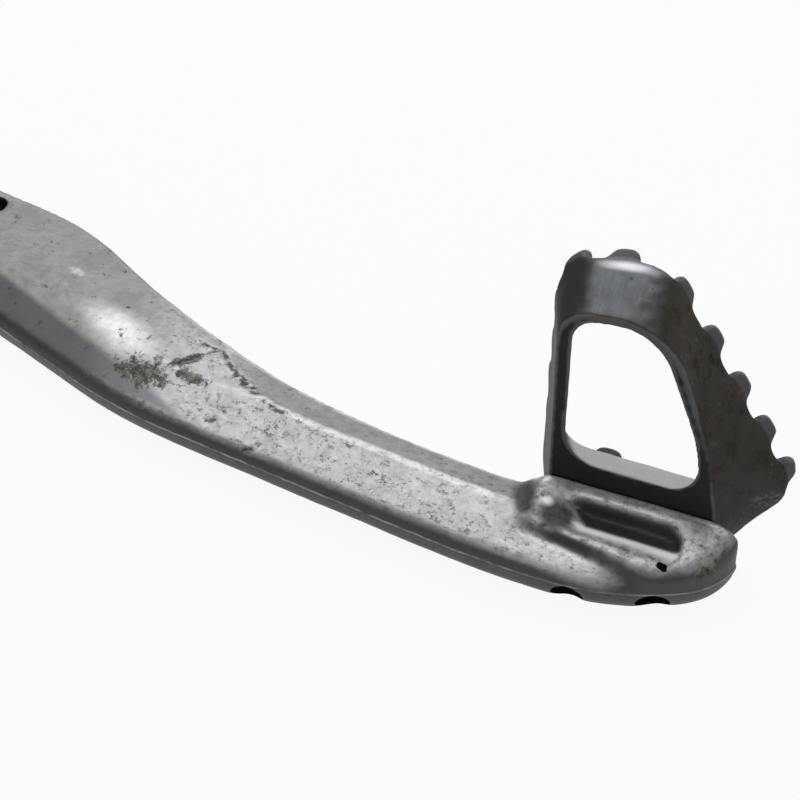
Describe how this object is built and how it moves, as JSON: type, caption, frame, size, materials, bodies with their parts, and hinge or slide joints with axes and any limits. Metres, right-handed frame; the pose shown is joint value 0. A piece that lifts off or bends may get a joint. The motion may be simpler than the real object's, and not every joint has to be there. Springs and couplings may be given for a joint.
{
  "type": "rear brake pedal",
  "caption": "Forged motorcycle rear brake pedal: a curved blade with a pivot boss, a brake rod lug and a pocketed tip that carries an open, flared, toothed foot step.",
  "frame": {"origin": "on the pivot axis, at the inner end of the pivot sleeve, where it is clamped to the frame", "axes": "+Z outwards along the pivot axis, +X forward towards the step, +Y up on the motorcycle"},
  "size_m": [0.2395, 0.0612, 0.0546],
  "materials": {
    "forged_aluminium": "worn, satin, finely pitted",
    "cast_aluminium": "as cast, with a polished top",
    "rivet_steel": "dark, matte",
    "sleeve_steel": "ground",
    "bush_bronze": "sintered, matte",
    "seal_rubber": "matte"
  },
  "bodies": {
    "sleeve": {"pivot_sleeve": "sleeve_steel"},
    "pedal": {"pedal_arm": "forged_aluminium", "step": "cast_aluminium", "step_rivets": "rivet_steel", "pivot_bush": "bush_bronze", "dust_seal_inner": "seal_rubber", "dust_seal_outer": "seal_rubber"}
  },
  "joints": [
    {"name": "pedal_pivot", "type": "hinge", "parent": "sleeve", "child": "pedal", "pos_m": [0, 0, 0], "axis": [0, 0, 1], "range_deg": [-15, 0]}
  ]
}
